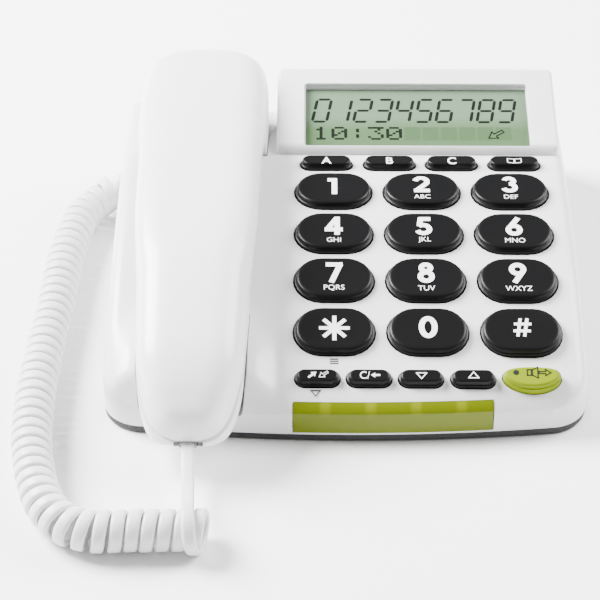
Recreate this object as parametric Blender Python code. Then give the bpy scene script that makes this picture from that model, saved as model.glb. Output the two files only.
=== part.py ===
"""Corded big-button desk telephone, in metres, +Z up. The user sits on the -Y side."""

from math import atan, cos, pi, sin

import bmesh
import bpy
from mathutils import Matrix, Vector

# Driving dimensions in millimetres. y counts from the front edge of the base, towards the back.
MM = 0.001
CENTRE_Y = 90.5  # middle of the object's length, where the origin sits
GAP = 0.3
BASE_HALF, BASE_DEPTH = 95.0, 200.0
WALL = 2.4
STRIP_TOP = 3.2  # top edge of the dark bottom shell
FOOT = 1.2
KEY_COLUMNS = (-4.3, 32.6, 69.5)
KEY_ROWS = (112.7, 85.9, 59.7, 34.0)
KEY_SIZE = (32.0, 22.4)
MEMORY_COLUMNS, MEMORY_Y, MEMORY_SIZE = (-7.2, 19.6, 46.0, 72.6), 132.8, (21.9, 8.4)
SMALL_COLUMNS, SMALL_Y, SMALL_SIZE = (-10.9, 9.2, 29.4, 49.6), 12.8, (17.4, 7.4)
SPEAKER_X, SPEAKER_Y, SPEAKER_SIZE = 72.5, 13.9, (22.8, 10.4)
KEY_TOP, KEY_BOTTOM, FLANGE, CLEAR = 3.0, -4.2, 1.0, 0.45
BEZEL = (-28.6, 92.7, 141, 192)
BEZEL_FRONT_Z, BEZEL_SLOPE = 46.715, 0.206
WINDOW_X, WINDOW_Y, WINDOW_SIZE = 32.1, 161.75, (97.0, 38.5)
HANDSET_X = -60.0
COIL_RADIUS = 7.9

for found in list(bpy.data.objects):
    bpy.data.objects.remove(found)


def surface(y):
    """Height of the domed key face at y."""
    return 16.1 + 0.3822 * y - 0.00135 * y * y


def point(x, y, z):
    return Vector((x, y - CENTRE_Y, z)) * MM


def material(name, colour, roughness, metallic=0.0):
    made = bpy.data.materials.get(name) or bpy.data.materials.new(name)
    made.use_nodes = True
    shader = made.node_tree.nodes["Principled BSDF"]
    shader.inputs["Base Color"].default_value = (*colour, 1)
    shader.inputs["Roughness"].default_value = roughness
    shader.inputs["Metallic"].default_value = metallic
    return made


SHELL = material("white_abs", (0.78, 0.78, 0.77), 0.35)
HANDSET = material("white_handset_abs", (0.8, 0.8, 0.79), 0.35)
STRIP = material("dark_grey_abs", (0.05, 0.05, 0.055), 0.5)
BLACK = material("black_key_plastic", (0.02, 0.02, 0.022), 0.4)
LIME = material("lime_key_plastic", (0.55, 0.65, 0.03), 0.4)
LENS = material("lime_lens", (0.5, 0.55, 0.03), 0.2)
CLEAR_PLASTIC = material("clear_window", (0.6, 0.7, 0.6), 0.05)
LCD = material("lcd_green", (0.28, 0.4, 0.24), 0.3)
RUBBER = material("grey_rubber", (0.25, 0.25, 0.25), 0.9)
FOOT_RUBBER = material("black_rubber", (0.03, 0.03, 0.03), 0.9)
BOARD = material("green_board", (0.02, 0.16, 0.06), 0.5)
STEEL = material("steel", (0.55, 0.55, 0.56), 0.35, 1.0)
PARTS = material("black_component", (0.04, 0.04, 0.04), 0.5)
CORD = material("white_cord", (0.75, 0.75, 0.74), 0.45)


def add(name, mesh_bm, surface_material, matrix=None, origin=None, smooth=0.6):
    """A new object from mesh_bm. matrix places a local mesh; origin moves the pivot of a world mesh."""
    bmesh.ops.recalc_face_normals(mesh_bm, faces=mesh_bm.faces)
    if origin is not None:
        bmesh.ops.translate(mesh_bm, verts=mesh_bm.verts, vec=-origin)
        matrix = Matrix.Translation(origin)
    data = bpy.data.meshes.new(name)
    mesh_bm.to_mesh(data)
    mesh_bm.free()
    data.materials.append(surface_material)
    made = bpy.data.objects.new(name, data)
    bpy.context.collection.objects.link(made)
    if matrix is not None:
        made.matrix_world = matrix
    data.shade_smooth()
    data.set_sharp_from_angle(angle=smooth)
    return made


def loft(rings, into=None):
    """A closed body through rings of equal length."""
    bm = into or bmesh.new()
    rows = [[bm.verts.new(p) for p in ring] for ring in rings]
    for near, far in zip(rows, rows[1:]):
        for i in range(len(near)):
            j = (i + 1) % len(near)
            bm.faces.new((near[i], near[j], far[j], far[i]))
    bm.faces.new(list(reversed(rows[0])))
    bm.faces.new(rows[-1])
    return bm


def rounded(x0, x1, z0, z1, top, bottom, steps=3):
    """Corners of a rounded rectangle as (x, z), anticlockwise from the lower left."""
    corners = ((x0 + bottom, z0 + bottom, bottom, pi), (x1 - bottom, z0 + bottom, bottom, 1.5 * pi),
               (x1 - top, z1 - top, top, 0), (x0 + top, z1 - top, top, 0.5 * pi))
    return [(cx + r * cos(a + 0.5 * pi * k / steps), cz + r * sin(a + 0.5 * pi * k / steps))
            for cx, cz, r, a in corners for k in range(steps + 1)]


def section(y, x0, x1, z0, z1, top, bottom=0.4, steps=3):
    return [point(x, y, z) for x, z in rounded(x0, x1, z0, z1, top, bottom, steps)]


def box_into(bm, x0, x1, y0, y1, z0, z1):
    """A block; z1 may be a pair, its heights at y0 and y1."""
    front, back = z1 if isinstance(z1, tuple) else (z1, z1)
    return loft([[point(x0, y, z0), point(x1, y, z0), point(x1, y, top), point(x0, y, top)]
                 for y, top in ((y0, front), (y1, back))], bm)


def turned_into(bm, x, y, layers, count=20):
    """A turned body about a vertical axis; layers are (height, radius) pairs."""
    circle = [(cos(2 * pi * k / count), sin(2 * pi * k / count)) for k in range(count)]
    return loft([[point(x + r * u, y + r * v, z) for u, v in circle] for z, r in layers], bm)


def cylinder_into(bm, x, y, radius, z0, z1, count=20):
    return turned_into(bm, x, y, ((z0, radius), (z1, radius)), count)


def pill(width, height, out=0.0, steps=4):
    """Outline of a key: a rounded slab with fully round ends."""
    half, radius = width / 2 + out, height / 2 + out
    centre = half - radius
    return [((centre if side > 0 else -centre) + radius * cos(a), radius * sin(a))
            for side, start in ((1, -0.5 * pi), (-1, 0.5 * pi))
            for a in (start + pi * k / (2 * steps) for k in range(2 * steps + 1))]


def half_moon(width, height, out=0.0, steps=8):
    """Outline of the speaker key: flat on top, elliptical below."""
    half, low, top = width / 2 + out, height * 0.62 + out, height * 0.38 + out
    return ([(-half * cos(pi * k / steps), -low * sin(pi * k / steps)) for k in range(steps + 1)]
            + [(half - 1.2, top), (-half + 1.2, top)])


def on_surface(x, y):
    """Frame at the key face: local z is the outward normal."""
    tilt = atan(0.3822 - 0.0027 * y)
    return Matrix.Translation(point(x, y, surface(y))) @ Matrix.Rotation(tilt, 4, "X")


def local_loft(layers, outline, into=None, matrix=None):
    """layers: (height, outset) pairs of the outline, in the frame of matrix."""
    rings = [[Vector((u, v, z)) * MM for u, v in outline(out)] for z, out in layers]
    if matrix is not None:
        rings = [[matrix @ p for p in ring] for ring in rings]
    return loft(rings, into)


def cut(target, cutter_bm, name):
    """Subtracts a mesh from target with an exact Boolean."""
    cutter = add(name, cutter_bm, SHELL)
    cutter.hide_render = True
    cutter.display_type = "WIRE"
    modifier = target.modifiers.new(name, "BOOLEAN")
    modifier.operation = "DIFFERENCE"
    modifier.solver = "EXACT"
    modifier.object = cutter


# The keys: name, centre, outline, material.
KEYS = []
for name, column, row in (("1", 0, 0), ("2", 1, 0), ("3", 2, 0), ("4", 0, 1), ("5", 1, 1), ("6", 2, 1),
                          ("7", 0, 2), ("8", 1, 2), ("9", 2, 2), ("star", 0, 3), ("0", 1, 3), ("hash", 2, 3)):
    KEYS.append(("key_" + name, KEY_COLUMNS[column], KEY_ROWS[row], pill, KEY_SIZE, BLACK))
for name, x in zip(("memory_a", "memory_b", "memory_c", "phonebook"), MEMORY_COLUMNS):
    KEYS.append(("key_" + name, x, MEMORY_Y, pill, MEMORY_SIZE, BLACK))
for name, x in zip(("redial", "clear", "down", "up"), SMALL_COLUMNS):
    KEYS.append(("key_" + name, x, SMALL_Y, pill, SMALL_SIZE, BLACK))
KEYS.append(("key_speaker", SPEAKER_X, SPEAKER_Y, half_moon, SPEAKER_SIZE, LIME))

KEY_LAYERS = ((KEY_BOTTOM, FLANGE), (KEY_BOTTOM + 1, FLANGE), (KEY_BOTTOM + 1, 0), (1.8, 0), (2.7, -0.7),
              (KEY_TOP, -1.9))
key_holes = bmesh.new()
for name, x, y, outline, size, colour in KEYS:
    frame = on_surface(x, y)
    shape = lambda out, outline=outline, size=size: outline(*size, out)
    add(name, local_loft(KEY_LAYERS, shape), colour, matrix=frame)
    local_loft(((KEY_BOTTOM + 0.9, CLEAR), (2.5, CLEAR)), shape, key_holes, frame)

# Base top shell: half width, top height and corner radius at each station along y.
FRONT = ((0, 82, 12.6, 2), (0.9, 87, 14.6, 3), (2.6, 91, 16.3, 4), (5.5, 93.6, 18.1, 5), (10, 94.8, 19.8, 6))
MIDDLE = tuple((y, BASE_HALF, surface(y), 6) for y in (16, 28, 42, 56, 72, 88, 104, 120, 136, 152, 168, 182))
BACK = ((191, 94.8, 39.6, 6), (195.5, 93.6, 37.6, 5), (198.6, 91, 34.8, 4), (BASE_DEPTH, 87, 31.5, 3))
STATIONS = FRONT + MIDDLE + BACK
top_shell = add("base_top_shell", loft([section(y, -half, half, STRIP_TOP + GAP, top, radius)
                                        for y, half, top, radius in STATIONS]), SHELL)

# Right chamber under the keys and the display, left chamber under the cradle.
chamber = bmesh.new()
right = [(WALL, 80, 10.4), (4.0, 88, 14.9), (6.5, 90.5, surface(6.5) - WALL)]
right += [(y, BASE_HALF - WALL, surface(y) - WALL) for y in (16, 28, 42, 56, 72, 88, 104, 120, 136, 152, 168, 182)]
right += [(190, 91.5, 36), (BASE_DEPTH - WALL, 88, 30)]
loft([section(y, -25.5, x1, -5, top, 3, 0.4, 2) for y, x1, top in right], chamber)
left = ((3, -80, 6.5), (12, -92.5, 8.4), (50, -92.5, 8.4), (52, -92.5, 27), (66, -92.5, 33), (130, -92.5, 33),
        (134, -92.5, 26.4), (190, -92.5, 26.4), (197.5, -88, 26.4))
loft([section(y, x0, -28.5, -5, top, 1, 0.4, 2) for y, x0, top in left], chamber)
cut(top_shell, chamber, "chamber_cutter")
cut(top_shell, key_holes, "key_hole_cutter")

# Cradle wells for the two ends of the handset, lens slot, plunger hole and the two jacks.
wells = bmesh.new()
loft([section(y, -83.2, -36, 11.0, 60, 1, 3) for y in (-4, 49)], wells)
loft([section(y, -89.6, -30, 29.0, 60, 1, 4) for y in (137.5, 197.4)], wells)
cut(top_shell, wells, "well_cutter")
openings = box_into(bmesh.new(), -20.6, 57.6, -5, 3.7, 4.2, 30)
cylinder_into(openings, HANDSET_X, 166, 4.4, 20, 35)
box_into(openings, -97, -88, 155, 168, 4.8, 18)
box_into(openings, 20, 35, 194, 205, 8, 22)
cut(top_shell, openings, "opening_cutter")

# Raised saddle walls at both sides of the mouth end of the handset.
for name, x0, x1 in (("saddle_left", -94.2, -83.6), ("saddle_right", -35.6, -27.4)):
    saddle = loft([section(y, x0, x1, surface(y) - 4, surface(y) + up, 3)
                   for y, up in ((8, 0.6), (12, 3.6), (20, 5.2), (34, 5.2), (44, 3.6), (50, 0.6))])
    body = add(name, saddle, SHELL)
    body.hide_render = True
    body.display_type = "WIRE"
    modifier = top_shell.modifiers.new(name, "BOOLEAN")
    modifier.operation = "UNION"
    modifier.solver = "EXACT"
    modifier.object = body

# Bottom shell: the dark strip and a floor, with recesses for feet and screws.
bottom = [(y, half, radius) for y, half, _, radius in STATIONS if y not in (42, 72, 104, 136, 168)]
bottom_shell = add("base_bottom_shell", loft([section(y, -half + 0.2, half - 0.2, FOOT, STRIP_TOP, 0.3, 0.8)
                                              for y, half, _ in bottom]), STRIP)
FEET = ((-80, 18), (80, 18), (-80, 182), (80, 182))
SCREWS = ((-70, 36), (89.2, 36), (-70, 172), (70, 172))
recesses = bmesh.new()
for x, y in FEET:
    cylinder_into(recesses, x, y, 6.3, -1, FOOT + 0.9)
for x, y in SCREWS:
    turned_into(recesses, x, y, ((-1, 3.2), (FOOT + 0.8, 3.2), (FOOT + 0.8, 1.8), (5, 1.8)), 12)
cut(bottom_shell, recesses, "recess_cutter")
for k, (x, y) in enumerate(FEET, 1):
    add(f"foot_{k}", cylinder_into(bmesh.new(), x, y, 6.0, 0, FOOT + 0.6), FOOT_RUBBER)
for k, (x, y) in enumerate(SCREWS, 1):
    layers = ((FOOT, 2.8), (FOOT + 0.5, 2.8), (FOOT + 0.5, 1.4), (7.6, 1.4), (8.0, 0.9))
    add(f"screw_{k}", turned_into(bmesh.new(), x, y, layers, 12), STEEL)

# Display: raised panel with an opening, clear window in its rebate, LCD module below.
x0, x1, y0, y1 = BEZEL
panel = ((y0, -1.5, 0.5), (y0 + 0.8, -0.4, 1), (y0 + 2.6, 0, 1.4), (154, 0, 1.4), (172, 0, 1.4),
         (y1 - 3, 0, 1.4), (y1 - 1, -0.8, 1.4), (y1, -2.6, 1.4))
bezel = add("display_bezel", loft([section(y, x0, x1, surface(y) + GAP, BEZEL_FRONT_Z + BEZEL_SLOPE * (y - y0) + drop,
                                           radius, 0.2) for y, drop, radius in panel]), SHELL)
tilt = atan(BEZEL_SLOPE)
window_frame = (Matrix.Translation(point(WINDOW_X, WINDOW_Y, BEZEL_FRONT_Z + BEZEL_SLOPE * (WINDOW_Y - y0)))
                @ Matrix.Rotation(tilt, 4, "X"))


def slab(width, height, radius=1.5):
    return lambda out: rounded(-width / 2 - out, width / 2 + out, -height / 2 - out, height / 2 + out,
                               radius, radius, 2)


rebate = local_loft(((-1.8, GAP), (3, GAP)), slab(*WINDOW_SIZE), None, window_frame)
cut(bezel, rebate, "rebate_cutter")
through = local_loft(((-30, 0), (3, 0)), slab(92, 32), None, window_frame)
cut(bezel, through, "through_cutter")
add("display_window", local_loft(((-1.5, 0), (-0.5, 0)), slab(*WINDOW_SIZE)), CLEAR_PLASTIC, matrix=window_frame)
add("lcd_module", local_loft(((-3.8, 0), (-2.0, 0)), slab(91, 31, 0.6)), LCD, matrix=window_frame)

# Indicator lens, its LED strip, key mat, circuit board, loudspeaker.
lens = [section(y, -20.3, 57.3, 4.5, top, radius, 0.4) for y, top, radius in
        ((0.1, 12.6, 0.8), (0.9, 14.4, 0.9), (2.2, 15.8, 1), (3.4, 16.7, 1))]
add("indicator_lens", loft(lens), LENS)
add("indicator_led_strip", box_into(bmesh.new(), -18, 55, 6.4, 7.6, 5, 12), BOARD)
mat_rows = [(y, surface(y) - 6.8) for y in (9, 22, 36, 50, 66, 82, 98, 114, 130, 137)]
add("key_mat", loft([[point(-22, y, z - 1.4), point(88, y, z - 1.4), point(88, y, z), point(-22, y, z)]
                     for y, z in mat_rows]), RUBBER)
add("main_board", box_into(bmesh.new(), -20, 86, 12, 130, 5.4, 7.0), BOARD)
add("loudspeaker", cylinder_into(bmesh.new(), 32, 160, 20, 4.0, 16, 24), PARTS)

# Hook plunger in the rear well and the switch under it.
plunger = local_loft(((-8.5, 1.0), (-7.5, 1.0), (-7.5, 0), (3.0, 0), (3.9, -0.8)),
                     lambda out: [((4 + out) * cos(2 * pi * k / 16), (4 + out) * sin(2 * pi * k / 16)) for k in range(16)])
add("hook_plunger", plunger, BLACK, matrix=Matrix.Translation(point(HANDSET_X, 166, 25.1)))
add("hook_switch", box_into(bmesh.new(), -67, -53, 160, 172, 5, 16.3), PARTS)


def socket(name, x0, x1, y0, y1, z0, z1, mouth):
    """A modular jack body with a rectangular mouth cut into it."""
    body = add(name, box_into(bmesh.new(), x0, x1, y0, y1, z0, z1), PARTS)
    cut(body, box_into(bmesh.new(), *mouth), name + "_mouth")


socket("line_jack", 20.4, 34.6, 187, 199.7, 8.4, 21.6, (22.2, 32.8, 190, 205, 11.5, 18.5))
socket("handset_jack", -94.6, -82.5, 155.4, 167.6, 5.2, 17.6, (-99, -85, 157.6, 165.6, 8, 15))

# Handset: half width, lower and upper height at each station, split along a seam.
HANDSET_STATIONS = ((-21, 5, 15.5, 22), (-20.3, 8.5, 14.2, 25.5), (-18.5, 12, 13, 29), (-15, 15.2, 12.1, 32.6),
                    (-10, 17.6, 11.5, 37), (-3, 19.4, 11.3, 41.5), (6, 20.6, 11.3, 45.6), (20, 21.3, 11.3, 50.4),
                    (34, 21.9, 11.3, 54.6), (43, 22.2, 13.5, 57), (47, 22.6, 37, 57.9), (58, 23.4, 44, 60),
                    (78, 24.8, 48.5, 62.8), (100, 25.2, 50.5, 64.8), (122, 25.8, 51.5, 66), (136, 27, 50, 66.6),
                    (140, 27.3, 44.5, 66.8), (143, 27.4, 30, 66.9), (158, 27.8, 29.3, 67.2), (172, 27.6, 29.3, 67.1),
                    (182, 26.9, 29.3, 66.6), (188, 25.6, 30, 66), (193, 23.2, 32.5, 64.8), (196.5, 19.8, 39.5, 63.2),
                    (199.2, 15, 43.5, 61.2), (201.2, 9.5, 47, 58.8), (202, 5, 50, 56.6))


def seam(y):
    """Height of the joint between the two handset shells."""
    return 16 + 0.5859 * (y + 21) - 0.002004 * (y + 21) ** 2


def handset_rings(inset, first, last):
    rings = []
    for y, half, low, high in HANDSET_STATIONS[first:last]:
        radius = min(half, (high - low) / 2) * 0.8 - inset * 0.5
        rings.append(section(y, HANDSET_X - half + inset, HANDSET_X + half - inset, low + inset, high - inset,
                             min(radius, 9), min(radius, 5), 4))
    return rings


def seam_block(low, high):
    rows = [(y, seam(y)) for y in range(-30, 211, 12)]
    return loft([[point(-100, y, z + low), point(-20, y, z + low), point(-20, y, z + high), point(-100, y, z + high)]
                 for y, z in rows])


for name, block in (("handset_top_shell", (-60, 0.15)), ("handset_bottom_shell", (-0.15, 60))):
    shell = add(name, loft(handset_rings(0, None, None)), HANDSET, origin=point(HANDSET_X, 91, 50))
    cut(shell, loft(handset_rings(2.4, 2, -3)), name + "_inner")
    cut(shell, seam_block(*block), name + "_split")
    if name == "handset_bottom_shell":
        fittings = box_into(bmesh.new(), -66, -54, -30, -10, 10.8, 16.4)
        for y in (40, 150):
            cylinder_into(fittings, HANDSET_X, y, 2.2, 5, 45, 12)
        for k in range(6):
            angle = pi * k / 3
            cylinder_into(fittings, HANDSET_X + 7 * cos(angle), 172 + 7 * sin(angle), 1.4, 25, 36, 8)
        cylinder_into(fittings, HANDSET_X, 12, 1.4, 5, 17, 8)
        cut(shell, fittings, "handset_fitting_cutter")
socket("handset_socket", -65.6, -54.4, -17.6, -10.4, 11.9, 15.9, (-63.8, -56.2, -30, -11.2, 12.6, 15.4))
for k, y in enumerate((40, 150), 1):
    low = {40: 12.6, 150: 30.4}[y]
    add(f"handset_screw_{k}", cylinder_into(bmesh.new(), HANDSET_X, y, 1.7, low, low + 12, 12), STEEL)
add("earpiece_speaker", cylinder_into(bmesh.new(), HANDSET_X, 172, 14, 32.2, 40, 24), PARTS)
add("microphone", cylinder_into(bmesh.new(), HANDSET_X, 12, 4.8, 14.2, 20, 16), PARTS)
add("handset_weight", box_into(bmesh.new(), -70, -50, 84, 116, 54.6, 59.2), STEEL)


def strand(name, path, radius, resolution, surface_material=CORD):
    """A round cord solid through points of a polyline."""
    data = bpy.data.curves.new(name, "CURVE")
    data.dimensions = "3D"
    spline = data.splines.new("POLY")
    spline.points.add(len(path) - 1)
    for target, place in zip(spline.points, path):
        target.co = (*point(*place), 1)
    data.bevel_depth = radius * MM
    data.bevel_resolution = resolution
    data.use_fill_caps = True
    data.materials.append(surface_material)
    made = bpy.data.objects.new(name, data)
    bpy.context.collection.objects.link(made)


def smooth_path(corners, step):
    """Points of a Catmull-Rom curve through corners, about step apart."""
    places = [Vector(c) for c in corners]
    places = [2 * places[0] - places[1], *places, 2 * places[-1] - places[-2]]
    out = [places[1]]
    for a, b, c, d in zip(places, places[1:], places[2:], places[3:]):
        count = max(1, round((c - b).length / step))
        for k in range(1, count + 1):
            t = k / count
            out.append(0.5 * (2 * b + (c - a) * t + (2 * a - 5 * b + 4 * c - d) * t * t
                              + (3 * b - a - 3 * c + d) * t * t * t))
    return out


# Curly cord lying on the desk round the left side of the base, with its straight ends and plugs.
COIL_PATH = ((-52, -61, 8.2), (-76, -61.5, 8.2), (-98, -61, 8.2), (-111.7, -47.4, 8.2), (-119.6, -17.4, 8.2),
             (-121.8, 15.1, 8.2), (-121.1, 47.7, 8.2), (-119.8, 73.1, 8.2), (-118.5, 113, 8.2),
             (-115.2, 140.7, 8.2), (-111.2, 151.4, 8.4), (-106, 158, 8.6))
strand("curly_cord", smooth_path(COIL_PATH, 12), COIL_RADIUS, 3)
strand("handset_lead", smooth_path(((-60, -21.2, 14), (-60, -26, 13.6), (-59.8, -31, 11.8), (-59.6, -36, 9.6), (-59, -43, 8.2),
                                    (-58.6, -50.3, 9)), 4), 2.0, 2)
strand("base_lead", smooth_path(((-105.3, 158.9, 8.7), (-104.2, 160.2, 9.8), (-102.8, 161.4, 11.3),
                                 (-102, 161.6, 11.5), (-101.4, 161.6, 11.5)), 2), 1.6, 2)
add("handset_plug", box_into(bmesh.new(), -63.4, -56.6, -20.6, -11.5, 12.95, 15.05), CLEAR_PLASTIC)
add("base_plug", box_into(bmesh.new(), -101, -85.6, 158.2, 165.0, 9.0, 14.2), CLEAR_PLASTIC)
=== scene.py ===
"""Corded big-button desk telephone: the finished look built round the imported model."""

from math import atan, cos, exp, floor, hypot, pi, radians, sin, sqrt

import bmesh
import bpy
from mathutils import Matrix, Vector


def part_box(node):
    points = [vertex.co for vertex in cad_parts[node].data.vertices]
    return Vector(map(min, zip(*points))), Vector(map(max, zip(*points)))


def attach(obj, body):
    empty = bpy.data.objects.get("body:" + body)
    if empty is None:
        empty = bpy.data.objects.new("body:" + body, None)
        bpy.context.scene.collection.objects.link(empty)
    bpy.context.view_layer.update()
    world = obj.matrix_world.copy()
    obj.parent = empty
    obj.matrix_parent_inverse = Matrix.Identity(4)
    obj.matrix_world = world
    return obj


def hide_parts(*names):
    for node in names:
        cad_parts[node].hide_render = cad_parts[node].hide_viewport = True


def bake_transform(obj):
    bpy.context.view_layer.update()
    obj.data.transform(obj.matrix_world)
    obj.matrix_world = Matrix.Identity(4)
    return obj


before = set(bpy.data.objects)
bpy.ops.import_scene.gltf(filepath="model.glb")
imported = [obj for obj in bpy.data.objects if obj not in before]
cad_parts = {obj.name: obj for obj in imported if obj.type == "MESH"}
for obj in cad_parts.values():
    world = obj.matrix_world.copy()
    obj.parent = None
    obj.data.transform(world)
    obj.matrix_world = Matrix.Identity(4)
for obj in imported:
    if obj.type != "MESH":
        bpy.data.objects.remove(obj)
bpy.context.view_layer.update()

# Studio. The camera stands in front of the desk and looks down on the telephone. The desk is a
# plain pale sheet, lit by one large soft lamp from the back left and a weaker one from the back right.
camera = bpy.data.objects.new("studio_camera", bpy.data.cameras.new("studio_camera"))
camera.data.sensor_width = 36
camera.data.lens = 134.8
camera.data.clip_start = 0.01
camera.location = (-0.0133, -0.7676, 0.5562)
camera.rotation_euler = (radians(90 - 35.8), 0, radians(0.364))
bpy.context.collection.objects.link(camera)
bpy.context.scene.camera = camera

world = bpy.data.worlds.new("studio_world")
world.use_nodes = True
world.node_tree.nodes["Background"].inputs["Color"].default_value = (1, 1, 1, 1)
world.node_tree.nodes["Background"].inputs["Strength"].default_value = 0.5
bpy.context.scene.world = world

for name, place, size, power in (("lamp_left", (-1.15, 0.5, 1.05), 0.9, 200),
                                 ("lamp_right", (1.2, 0.45, 1.0), 1.0, 72)):
    lamp = bpy.data.objects.new(name, bpy.data.lights.new(name, "AREA"))
    lamp.data.size = size
    lamp.data.energy = power
    lamp.location = place
    lamp.rotation_euler = (Vector((0, 0, 0.02)) - Vector(place)).to_track_quat("-Z", "Y").to_euler()
    bpy.context.collection.objects.link(lamp)

desk_mesh = bmesh.new()
bmesh.ops.create_grid(desk_mesh, x_segments=1, y_segments=1, size=6)
desk_data = bpy.data.meshes.new("desk")
desk_mesh.to_mesh(desk_data)
desk_mesh.free()
desk = bpy.data.objects.new("desk", desk_data)
desk_paper = bpy.data.materials.new("desk_paper")
desk_paper.use_nodes = True
desk_paper.node_tree.nodes["Principled BSDF"].inputs["Base Color"].default_value = (0.97, 0.97, 0.97, 1)
desk_paper.node_tree.nodes["Principled BSDF"].inputs["Roughness"].default_value = 0.8
desk_data.materials.append(desk_paper)
bpy.context.collection.objects.link(desk)

# Curly cord. A flat strand of white PVC, 5 mm wide, wound into about fifty turns of 15.8 mm outer
# diameter. A straight end runs from the handset over the first turn, and the last turn runs into
# the plug on the left side of the base. Both ends carry clear modular plugs.
MM = 0.001
front_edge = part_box("base_top_shell")[0].y
STRAND_WIDTH, STRAND_THICK = 0.0050, 0.0023
COIL_OUTER, TURN_PITCH, TURN_POINTS = 0.0158, 0.0058, 20


def at(x, y, z):
    """A place in the model from millimetres, with y counted back from the front edge of the base."""
    return Vector((x * MM, front_edge + y * MM, z * MM))


def smooth_line(places, count):
    """Points of one smooth curve through places, count to a stretch."""
    ends = [2 * places[0] - places[1], *places, 2 * places[-1] - places[-2]]
    line = [places[0]]
    for a, b, c, d in zip(ends, ends[1:], ends[2:], ends[3:]):
        for k in range(1, count + 1):
            t = k / count
            line.append(0.5 * (2 * b + (c - a) * t + (2 * a - 5 * b + 4 * c - d) * t * t
                               + (3 * b - a - 3 * c + d) * t * t * t))
    return line


def plastic(name, colour, roughness=0.35, grain=0.04, grain_scale=1400, tint=0.03, coat=0.0):
    """Moulded plastic: a fine spark-eroded grain, a faint cloudiness in the colour and uneven gloss."""
    made = bpy.data.materials.new(name)
    made.use_nodes = True
    tree = made.node_tree
    shader = tree.nodes["Principled BSDF"]
    place = tree.nodes.new("ShaderNodeTexCoord")
    cloud = tree.nodes.new("ShaderNodeTexNoise")
    cloud.inputs["Scale"].default_value = 35
    cloud.inputs["Detail"].default_value = 4
    shade = tree.nodes.new("ShaderNodeMapRange")
    shade.inputs["To Min"].default_value = 1 - tint
    shade.inputs["To Max"].default_value = 1
    mix = tree.nodes.new("ShaderNodeMix")
    mix.data_type = "RGBA"
    mix.blend_type = "MULTIPLY"
    mix.inputs["Factor"].default_value = 1
    mix.inputs["A"].default_value = (*colour, 1)
    gloss = tree.nodes.new("ShaderNodeMapRange")
    gloss.inputs["To Min"].default_value = roughness * 0.88
    gloss.inputs["To Max"].default_value = roughness * 1.12
    fine = tree.nodes.new("ShaderNodeTexNoise")
    fine.inputs["Scale"].default_value = grain_scale
    fine.inputs["Detail"].default_value = 2
    bump = tree.nodes.new("ShaderNodeBump")
    bump.inputs["Strength"].default_value = grain
    bump.inputs["Distance"].default_value = 0.0004
    link = tree.links.new
    for texture in (cloud, fine):
        link(place.outputs["Object"], texture.inputs["Vector"])
    link(cloud.outputs["Fac"], shade.inputs["Value"])
    link(cloud.outputs["Fac"], gloss.inputs["Value"])
    link(shade.outputs["Result"], mix.inputs["B"])
    link(mix.outputs["Result"], shader.inputs["Base Color"])
    link(gloss.outputs["Result"], shader.inputs["Roughness"])
    link(fine.outputs["Fac"], bump.inputs["Height"])
    link(bump.outputs["Normal"], shader.inputs["Normal"])
    shader.inputs["Coat Weight"].default_value = coat
    shader.inputs["Coat Roughness"].default_value = 0.12
    return made


def piece(name, bm, finish, smooth=35):
    """A finished piece from bm, smooth but for edges sharper than smooth degrees."""
    bmesh.ops.recalc_face_normals(bm, faces=bm.faces)
    data = bpy.data.meshes.new(name)
    bm.to_mesh(data)
    bm.free()
    data.materials.append(finish)
    data.shade_smooth()
    data.set_sharp_from_angle(angle=radians(smooth))
    made = bpy.data.objects.new(name, data)
    bpy.context.collection.objects.link(made)
    return made


def sweep(outlines):
    """A closed skin: the first outline is extruded from each outline to the next, and both ends are capped."""
    bm = bmesh.new()
    loop = bmesh.ops.create_circle(bm, segments=len(outlines[0]), radius=1)["verts"]
    start = loop
    for vert, place in zip(loop, outlines[0]):
        vert.co = place
    for outline in outlines[1:]:
        edges = [bm.edges.get((a, b)) for a, b in zip(loop, loop[1:] + loop[:1])]
        made = bmesh.ops.extrude_edge_only(bm, edges=edges)["geom"]
        fresh = {v for v in made if isinstance(v, bmesh.types.BMVert)}
        loop = [next(e.other_vert(v) for e in v.link_edges if e.other_vert(v) in fresh) for v in loop]
        for vert, place in zip(loop, outline):
            vert.co = place
    for ring in (start, loop):
        bmesh.ops.edgeloop_fill(bm, edges=[bm.edges.get((a, b)) for a, b in zip(ring, ring[1:] + ring[:1])])
    return bm


def strand_outline(centre, forward, across):
    """Outline of the flat strand, its edges half round."""
    across = (across - forward * across.dot(forward)).normalized()
    out = forward.cross(across)
    flat, half = (STRAND_WIDTH - STRAND_THICK) / 2, STRAND_THICK / 2
    turn = [-pi / 2 + pi * k / 5 for k in range(6)]
    return ([centre + across * (flat + half * cos(a)) + out * half * sin(a) for a in turn]
            + [centre - across * (flat + half * cos(a)) - out * half * sin(a) for a in turn])


coil_axis = smooth_line([at(*p) for p in (
    (-53.9, -61, 8.2), (-76, -61.5, 8.2), (-98, -61, 8.2), (-111.7, -47.4, 8.2), (-119.6, -17.4, 8.2),
    (-121.8, 15.1, 8.2), (-121.1, 47.7, 8.2), (-119.8, 73.1, 8.2), (-118.5, 113, 8.2),
    (-115.2, 140.7, 8.2), (-111.6, 150.2, 8.4), (-107.4, 156.4, 9), (-103.4, 159.8, 10.2), (-99.6, 161.4, 11.4))], 60)
lead_points = smooth_line([at(*p) for p in (
    (-60, -19.4, 14.0), (-59.9, -24, 13.9), (-59.7, -30, 12.8), (-59.3, -37, 11.8), (-58.9, -44, 12.2),
    (-58.6, -50, 14.2), (-58.3, -55.5, 16.6))], 4)
travelled, coil_line = 0.0, []
for near, far in zip(coil_axis, coil_axis[1:]):
    coil_line.append((travelled, near, (far - near).normalized()))
    travelled += (far - near).length
turn_count = round(travelled / TURN_PITCH)
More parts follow.
